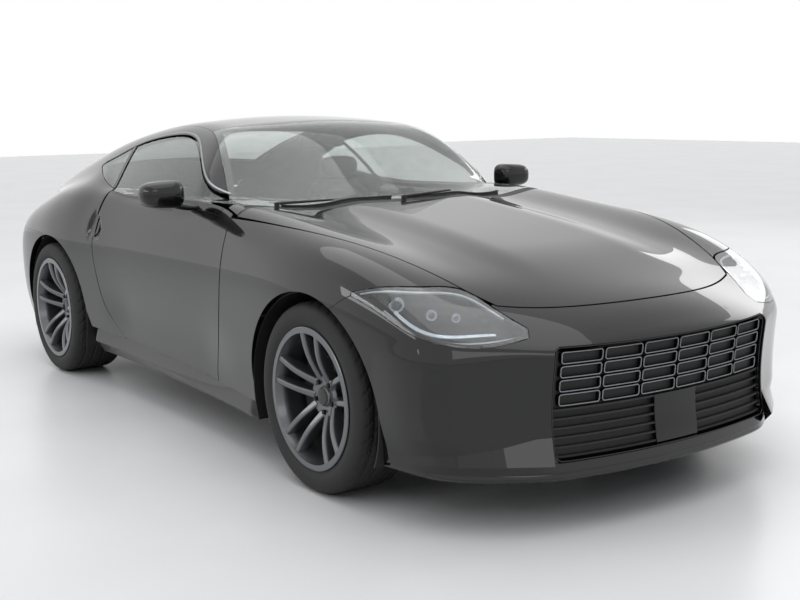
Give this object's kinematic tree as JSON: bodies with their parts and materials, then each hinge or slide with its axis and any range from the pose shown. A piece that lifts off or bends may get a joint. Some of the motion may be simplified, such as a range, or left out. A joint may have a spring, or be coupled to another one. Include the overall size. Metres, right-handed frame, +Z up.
{
  "type": "coupe car",
  "caption": "Low two-door fastback sports car with long bonnet, wide slotted grille, lift-up tailgate and large spoked wheels.",
  "frame": {"origin": "on the ground under the middle of the overall box", "axes": "+X forward along the length, +Y to the left, +Z up"},
  "size_m": [4.3766, 2.074, 1.3151],
  "materials": {
    "body_paint": "gloss black over clear coat",
    "satin_trim": "satin",
    "side_glass": "tinted",
    "screen_glass": "clear, faint green",
    "gloss_black": "gloss",
    "lamp_clear": "clear cover over bright reflectors",
    "lamp_red": "smoked dark red",
    "black_plastic": "fine grain",
    "structure_paint": "body colour, dull",
    "chassis_black": "satin black",
    "engine_metal": "cast",
    "exhaust_steel": "brushed",
    "seat_leather": "black, grained",
    "wheel_leather": "black, smooth",
    "carpet": "cut pile",
    "tyre_rubber": "dull",
    "wheel_grey": "dark grey metallic, satin"
  },
  "bodies": {
    "shell": {"roof": "body_paint", "fender_left": "body_paint", "fender_right": "body_paint", "quarter_panel_left": "body_paint", "quarter_panel_right": "body_paint", "bumper_front": "body_paint", "splitter": "body_paint", "sills": "body_paint", "bumper_rear": "body_paint", "cantrails": "satin_trim", "quarter_windows": "side_glass", "windscreen": "screen_glass", "headlamps": "lamp_clear", "tail_lamps": "lamp_red", "grille": "black_plastic", "diffuser": "black_plastic", "cowl_panel": "black_plastic", "arch_liners": "black_plastic", "front_tray": "black_plastic", "dashboard": "black_plastic", "floor_pan": "structure_paint", "bulkhead": "structure_paint", "engine_bay": "structure_paint", "rear_floor": "structure_paint", "front_axle": "chassis_black", "rear_axle": "chassis_black", "powertrain": "engine_metal", "radiator": "engine_metal", "exhaust": "exhaust_steel", "tailpipes": "exhaust_steel", "seats": "seat_leather", "luggage_floor": "carpet"},
    "door_left": {"door_left": "body_paint", "door_glass_left": "side_glass", "mirror_left": "gloss_black"},
    "door_right": {"door_right": "body_paint", "door_glass_right": "side_glass", "mirror_right": "gloss_black"},
    "bonnet": {"bonnet": "body_paint"},
    "hatch": {"hatch": "body_paint", "hatch_glass": "side_glass"},
    "steering_wheel": {"steering_wheel": "wheel_leather"},
    "upright_front_left": {"knuckle_front_left": "engine_metal"},
    "upright_front_right": {"knuckle_front_right": "engine_metal"},
    "wheel_front_left": {"tyre_front_left": "tyre_rubber", "wheel_front_left": "wheel_grey"},
    "wheel_front_right": {"tyre_front_right": "tyre_rubber", "wheel_front_right": "wheel_grey"},
    "wheel_rear_left": {"tyre_rear_left": "tyre_rubber", "wheel_rear_left": "wheel_grey"},
    "wheel_rear_right": {"tyre_rear_right": "tyre_rubber", "wheel_rear_right": "wheel_grey"}
  },
  "joints": [
    {"name": "door_left_hinge", "type": "hinge", "parent": "shell", "child": "door_left", "pos_m": [0.485, 0.872, 0.6], "axis": [0, 0, -1], "range_deg": [0, 65]},
    {"name": "door_right_hinge", "type": "hinge", "parent": "shell", "child": "door_right", "pos_m": [0.485, -0.872, 0.6], "axis": [0, 0, 1], "range_deg": [0, 65]},
    {"name": "bonnet_hinge", "type": "hinge", "parent": "shell", "child": "bonnet", "pos_m": [0.585, 0, 0.958], "axis": [0, -1, 0], "range_deg": [0, 52]},
    {"name": "hatch_hinge", "type": "hinge", "parent": "shell", "child": "hatch", "pos_m": [-0.7, 0, 1.2], "axis": [0, 1, 0], "range_deg": [0, 65]},
    {"name": "steer_left", "type": "hinge", "parent": "shell", "child": "upright_front_left", "pos_m": [1.27, 0.7005, 0.3433], "axis": [0, 0, 1], "range_deg": [-34, 34]},
    {"name": "steer_right", "type": "hinge", "parent": "shell", "child": "upright_front_right", "pos_m": [1.27, -0.7005, 0.3433], "axis": [0, 0, 1], "range_deg": [-34, 34]},
    {"name": "steering_wheel_turn", "type": "hinge", "parent": "shell", "child": "steering_wheel", "pos_m": [0.225, -0.394, 0.77], "axis": [-0.9272, 0, 0.3746], "range_deg": [-480, 480]},
    {"name": "wheel_front_left_spin", "type": "hinge", "parent": "upright_front_left", "child": "wheel_front_left", "pos_m": [1.27, 0.7775, 0.3433], "axis": [0, 1, 0], "continuous": true},
    {"name": "wheel_front_right_spin", "type": "hinge", "parent": "upright_front_right", "child": "wheel_front_right", "pos_m": [1.27, -0.7775, 0.3433], "axis": [0, 1, 0], "continuous": true},
    {"name": "wheel_rear_left_spin", "type": "hinge", "parent": "shell", "child": "wheel_rear_left", "pos_m": [-1.28, 0.7825, 0.3375], "axis": [0, 1, 0], "continuous": true},
    {"name": "wheel_rear_right_spin", "type": "hinge", "parent": "shell", "child": "wheel_rear_right", "pos_m": [-1.28, -0.7825, 0.3375], "axis": [0, 1, 0], "continuous": true}
  ],
  "couplings": [
    {"joint": "steer_right", "follows": "steer_left", "ratio": 1}
  ]
}
